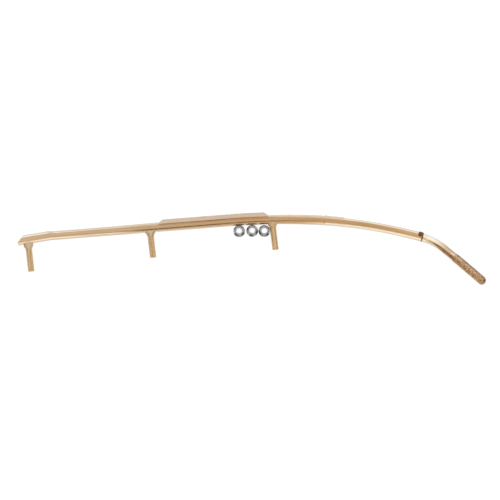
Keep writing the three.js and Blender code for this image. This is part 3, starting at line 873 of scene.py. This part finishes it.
def stud_welds():
    """Flared welds: wide on the bar, gathered to the stud, lumpy and never quite even."""
    edge = BAR_RADIUS - 0.1 * MM
    for index, (name, (width, straight_run, cone)) in enumerate(STUD_WELDS.items()):
        middle = middle_of(f"stud_{name}")
        place, along, _ = bar_line.at(bar_line.reach(middle.x))
        tilt = along[1] / along[0]
        t = np.linspace(0, 1, 26)[:, None]
        angle = np.linspace(0, 2 * math.pi, 73)[:-1][None, :]
        depth = (straight_run + cone) * MM
        foot, throat = width / 2 * MM, THREAD_MAJOR + 0.25 * MM
        shoulder = straight_run * MM / depth
        fall = ramp(t, shoulder * 0.75, 1.0) ** (0.62 if name != "rear" else 0.9)
        reach = foot + (throat - foot) * fall
        x = reach * np.cos(angle)
        boxy = np.sign(np.sin(angle)) * np.abs(np.sin(angle)) ** (0.55 + 0.45 * fall)
        z = reach * boxy * (throat / foot + (1 - throat / foot) * fall)
        z = np.clip(z, -BAR_RADIUS + 0.2 * MM, BAR_RADIUS - 0.2 * MM)
        sink = BAR_RADIUS - 0.55 * MM
        saddle = np.sqrt(np.maximum(sink**2 - z**2, 0))
        top = place[1] + tilt * x - saddle
        bottom = place[1] - BAR_RADIUS - depth + 0 * x
        y = top + (bottom - top) * t
        spots = np.stack([x, y - place[1], z], -1)
        swell = lumps(spots, 3.0 * MM, 11.0 * (index + 1), 3)
        gain = 1 + (0.32 * MM * swell * (1 - 0.6 * t)) / reach
        grid = np.stack([y - place[1], x * gain, np.clip(z * gain, -edge, edge)], -1)
        points, faces = tube(grid)

        def lay(p, px=middle.x, py=place[1]):
            return np.stack([px + p[:, 1], py + p[:, 0], BAR_HEIGHT + p[:, 2]], -1)

        metal = GOLD_FLARE_FINISH if name == "front" else PALE_FLARE_FINISH
        piece(f"stud_weld_flare_{name}", points, faces, metal, "runner", [f"stud_weld_{name}"],
              lay)


# ---- lock nuts ----


def nut_outline():
    """The nut's outer profile as (radius, height), from its bearing face up over the rolled rim."""
    corner = NUT_FLAT / math.cos(math.radians(30))
    chamfer = math.tan(math.radians(30))
    points = [(NUT_BORE + 0.95 * MM, 0.0), (NUT_FLANGE - 0.35 * MM, 0.0)]
    points += [(NUT_FLANGE - 0.1 * MM, 0.1 * MM), (NUT_FLANGE, 0.35 * MM), (NUT_FLANGE, 0.9 * MM)]
    points += [(NUT_FLANGE - 0.12 * MM, 1.15 * MM), (NUT_FLANGE - 0.4 * MM, 1.4 * MM)]
    points += [(corner + d * MM, (2.5 - d) * MM) for d in np.linspace(0.0, -1.1, 8)]
    points += [(corner + 1 * MM, z * MM) for z in np.linspace(3.7, 7.0, 8)]
    slope = np.linspace(1.4, -0.25, 16)
    points += [(NUT_FLAT + d * MM, NUT_HEX_HEIGHT - (0.25 + d) * MM * chamfer) for d in slope]
    rim = 1.0 * MM
    points += [(NUT_COLLAR + 0.2 * MM, NUT_HEX_HEIGHT + 0.05 * MM), (NUT_COLLAR, NUT_HEX_HEIGHT + 0.35 * MM)]
    points += [(NUT_COLLAR, z * MM) for z in np.linspace(9.0, 10.4, 4)]
    turn = np.linspace(0, math.pi / 2, 9)[1:]
    points += [(NUT_COLLAR - rim * (1 - math.cos(a)), NUT_HEIGHT - rim * (1 - math.sin(a))) for a in turn]
    points += [(NUT_COLLAR - 1.25 * MM, NUT_HEIGHT - 0.12 * MM)]
    points += [(NUT_COLLAR - 1.4 * MM, NUT_HEIGHT - 0.4 * MM)]
    points += [(NUT_COLLAR - 1.1 * MM, NUT_HEIGHT - 0.8 * MM), (5.45 * MM, 10.2 * MM), (5.45 * MM, 7.8 * MM)]
    points += [(NUT_BORE + 0.3 * MM, 7.7 * MM)]
    return points


def nut_painted_reflections(points, smear):
    """Painted dark reflections outside the rolled rim, mostly toward +Y and -Y, but none on walls that face
    +Y. smear turns the painted pattern by that many degrees.
    """
    reach = np.hypot(points[:, 0], points[:, 1])
    facing = np.degrees(np.arctan2(points[:, 1], points[:, 0])) + smear
    dull = ramp(reach, NUT_COLLAR - 0.9 * MM, NUT_COLLAR - 0.1 * MM)
    dull *= 0.1 + 0.9 * ramp(np.abs(np.sin(np.radians(facing))), 0.25, 0.6)
    dull *= 1 - 0.6 * hump(facing, -90, 24)
    up = points[:, 2]
    wall = ramp(up, 2.4 * MM, 2.8 * MM) * (1 - ramp(up, 6.8 * MM, 7.2 * MM))
    wall += ramp(up, 8.3 * MM, 8.6 * MM) * (1 - ramp(up, 10.6 * MM, 11 * MM))
    return dull * (1 - wall * (points[:, 1] > 0))


def nuts():
    """Flanged lock nuts, each a turned profile cut to a hexagon, with a threaded bore."""
    for i, turn in enumerate(NUT_TURNS):
        middle = middle_of(f"nylon_insert_{i + 1}")
        angle = np.radians(turn) + np.linspace(0, 2 * math.pi, 97)[:-1]
        from_flat = (angle - math.radians(turn) + math.pi / 6) % (math.pi / 3) - math.pi / 6
        hexagon = NUT_FLAT / np.cos(from_flat)
        outline = nut_outline()
        r = np.array([p[0] for p in outline])[:, None]
        z = np.array([p[1] for p in outline])[:, None]
        above = z > NUT_FLANGE_SLOPE
        radius = np.where(above, np.minimum(r, hexagon[None, :]), r + 0 * hexagon[None, :])
        height = z + 0 * radius
        bore_z = np.linspace(7.6, 0.0, 84)[:, None] * MM
        phase = bore_z / THREAD_PITCH - angle[None, :] / (2 * math.pi)
        depth = 0.5 * THREAD_PITCH * (1 - thread_height(phase))
        flare = 0.9 * MM * ramp(bore_z, 0.8 * MM, 0.0) + 0.3 * MM * ramp(bore_z, 7.0 * MM, 7.6 * MM)
        bore = np.maximum(NUT_BORE + depth, NUT_BORE + flare)
        radius = np.concatenate([radius, bore])
        height = np.concatenate([height, bore_z + 0 * bore])
        grid = np.stack([radius * np.cos(angle), radius * np.sin(angle), height], -1)
        points, faces = ring_tube(grid)

        def lay(p, x=middle.x, y=middle.y):
            return p + np.array([x, y, 0.0])

        body = f"nut_{i + 1}"
        # Dark reflections are painted on the nut's sides.
        dull = nut_painted_reflections(points, NUT_REFLECTION_TURNS[i])
        piece(f"nut_shell_{i + 1}", points, faces, ZINC_FINISH, body, [f"lock_nut_{i + 1}"],
              lay, {"dull": dull}, sharp_angle=28)
        nylon_ring(i, body, lay)


def nylon_ring(i, body, lay):
    """The insert: its face sits just under the rolled rim, with a rounded lip at the hole."""
    outer, floor, face = 5.4 * MM, 7.85 * MM, NUT_HEIGHT - 0.55 * MM
    lip = 0.35 * MM
    profile = [(outer, floor), (outer, face - 0.5 * MM), (outer - 0.35 * MM, face - 0.05 * MM)]
    profile += [(5.0 * MM, face), (4.8 * MM, face)]
    turn = np.linspace(math.pi / 2, math.pi, 7)
    profile += [(NYLON_BORE + lip * (1 + math.cos(a)), face - lip * (1 - math.sin(a))) for a in turn]
    profile += [(NYLON_BORE, z * MM) for z in np.linspace(10.3, 8.3, 6)]
    profile += [(NYLON_BORE + 0.3 * MM, floor)]
    r = np.array([p[0] for p in profile])[:, None]
    z = np.array([p[1] for p in profile])[:, None]
    angle = np.linspace(0, 2 * math.pi, 65)[:-1][None, :]
    wobble = 1 + 0.004 * np.sin(5 * angle + i)
    grid = np.stack([r * wobble * np.cos(angle), r * wobble * np.sin(angle), z + 0 * angle], -1)
    points, faces = ring_tube(grid)
    piece(f"nylon_ring_{i + 1}", points, faces, NYLON_FINISH, body, [f"nylon_insert_{i + 1}"],
          lay, sharp_angle=50)


# ---- floor, light and camera ----

LEAN = math.radians(5.5)  # how far the camera looks in from the ski's side
CAMERA_TURN = math.radians(-6.8)
CAMERA_AIM = (-0.00061, 0.01385, BAR_HEIGHT)
FRAME_WIDTH = 0.7
FLOOR_REACH = 6.0
CEILING = (0.70, 0.59, 0.46)
END_WALLS = (0.22, 0.19, 0.16)
DAYLIGHT = (0.82, 0.93, 1.0)
WINDOW = (0.45, 0.70, 1.0)
CARD = (0.17, 0.12, 0.08)
PALE_CARD = (0.80, 0.66, 0.50)
REFLECTED_FLOOR = (0.93, 1.0, 1.06, 1)


def stage_sheet(name, corners, finish, camera=True, glossy=True):
    """A flat sheet of the studio, which the camera or the reflections may be kept from seeing."""
    mesh = bpy.data.meshes.new(name)
    mesh.from_pydata(corners, [], [(0, 1, 2, 3)])
    mesh.materials.append(finish)
    obj = bpy.data.objects.new(name, mesh)
    bpy.context.scene.collection.objects.link(obj)
    obj.visible_camera = camera
    obj.visible_glossy = glossy
    obj.visible_shadow = camera
    obj.visible_diffuse = camera


def paper(name, albedo, glow, glow_color=(1, 1, 1, 1)):
    """Matt paper that gives off a little light of its own."""
    finish = Finish(name, (albedo, albedo, albedo), 0.8, metallic=0.0)
    finish.shader.inputs["Emission Color"].default_value = glow_color
    finish.shader.inputs["Emission Strength"].default_value = glow
    finish.shader.inputs["Specular IOR Level"].default_value = 0.0
    return finish.done()


def floor():
    """A lit pale table. Metal reflects a duller sheet just under it, so its edges keep some tone."""
    half = FLOOR_REACH
    seen = paper("floor", 0.28, 0.92)
    reflected = paper("floor_reflected", 0.25, 0.58, REFLECTED_FLOOR)
    for level, sheet, camera in ((0.0, seen, True), (-0.0005, reflected, False)):
        corners = [(-half, -half, level), (half, -half, level), (half, half, level), (-half, half, level)]
        stage_sheet(sheet.name, corners, sheet, camera=camera, glossy=not camera)


def leaned(point):
    """A point of the studio, turned about the bar as the camera is."""
    pivot = Vector((0, 0, BAR_HEIGHT))
    return pivot + Matrix.Rotation(LEAN, 3, "X") @ (Vector(point) - pivot)


def softbox(name, place, target, size, color, radiance):
    """An area light of a given colour and radiance that faces a point."""
    place, target = leaned(place), leaned(target)
    light = bpy.data.lights.new(name, "AREA")
    light.shape = "RECTANGLE"
    light.size, light.size_y = size
    light.color = color
    light.energy = radiance * math.pi * size[0] * size[1]
    obj = bpy.data.objects.new(name, light)
    obj.location = place
    obj.rotation_euler = (target - place).to_track_quat("-Z", "Y").to_euler()
    obj.visible_camera = False
    bpy.context.scene.collection.objects.link(obj)


def studio_room():
    """A warm ceiling that darkens toward the two ends of the room."""
    world = bpy.data.worlds.new("studio")
    bpy.context.scene.world = world
    world.use_nodes = True
    tree = world.node_tree
    sky = tree.nodes["Background"]
    sky.inputs["Strength"].default_value = 1.0
    direction = tree.nodes.new("ShaderNodeTexCoord")
    split = tree.nodes.new("ShaderNodeSeparateXYZ")
    tree.links.new(direction.outputs["Generated"], split.inputs[0])
    size = tree.nodes.new("ShaderNodeMath")
    size.operation = "ABSOLUTE"
    tree.links.new(split.outputs["X"], size.inputs[0])
    ends = tree.nodes.new("ShaderNodeMapRange")
    ends.interpolation_type = "SMOOTHSTEP"
    ends.inputs["From Min"].default_value = 0.35
    ends.inputs["From Max"].default_value = 0.75
    tree.links.new(size.outputs[0], ends.inputs["Value"])
    blend = tree.nodes.new("ShaderNodeMix")
    blend.data_type = "RGBA"
    blend.inputs["A"].default_value = (*CEILING, 1)
    blend.inputs["B"].default_value = (*END_WALLS, 1)
    tree.links.new(ends.outputs["Result"], blend.inputs["Factor"])
    tree.links.new(blend.outputs["Result"], sky.inputs["Color"])


def lights():
    """Windows beyond the wear edge and off the nose, low strips, and cards for the dark lines."""
    studio_room()
    for name, west, east, top, radiance in (
        ("tail", -3.5, -0.34, 1.1, 0.95),
        ("left", -0.34, -0.17, 0.77, 0.5),
        ("middle", -0.17, 0.34, 0.77, 0.26),
        ("right", 0.34, 3.5, 0.80, 0.66),
    ):
        middle, low = (west + east) / 2, -0.29
        place = (middle, 2.2, (low + top) / 2)
        softbox(f"wall_{name}", place, (middle, 0, place[2]), (east - west, top - low), WINDOW, radiance)
    softbox("window_nose", (0.75, 0.48, 0.85), (0.27, 0.0, 0.75), (0.55, 1.35), DAYLIGHT, 0.55)
    softbox("strip_left", (-0.34, -0.24, 0.135), (-0.34, 0.06, 0.03), (0.28, 0.17), DAYLIGHT, 0.6)
    softbox("strip_right", (0.14, -0.26, 0.135), (0.14, 0.06, 0.03), (0.18, 0.17), DAYLIGHT, 0.6)
    dark = Finish("card", CARD, 0.9, metallic=0.0).done()
    pale = Finish("pale_card", PALE_CARD, 0.9, metallic=0.0).done()
    cards = {
        "flag": [(-0.20, -0.32, 0.25), (0.06, -0.32, 0.38), (0.06, -0.32, 0.72), (-0.20, -0.32, 0.72)],
        "flag_nose": [(0.02, -0.20, 0.17), (0.085, -0.20, 0.17), (0.085, -0.20, 0.42), (0.02, -0.20, 0.42)],
        "beam": [(-2, -0.42, 1.2), (2, -0.42, 1.2), (2, -0.32, 1.2), (-2, -0.32, 1.2)],
    }
    for name, corners in cards.items():
        card = pale if name == "flag_nose" else dark
        stage_sheet(name, [leaned(corner) for corner in corners], card, camera=False)


def camera():
    data = bpy.data.cameras.new("camera")
    data.lens = 170
    distance = FRAME_WIDTH * data.lens / data.sensor_width
    obj = bpy.data.objects.new("camera", data)
    obj.rotation_euler = (LEAN, 0, CAMERA_TURN)
    back = obj.rotation_euler.to_matrix() @ Vector((0, 0, distance))
    obj.location = Vector(CAMERA_AIM) + back
    bpy.context.scene.collection.objects.link(obj)
    bpy.context.scene.camera = obj
    bpy.context.scene.view_settings.view_transform = "Standard"


camera()
lights()
floor()
host_bar()
nose_rod()
hardfacing()
nose_weld()
keel()
carbides()
braze_fillets()
studs()
stud_welds()
nuts()
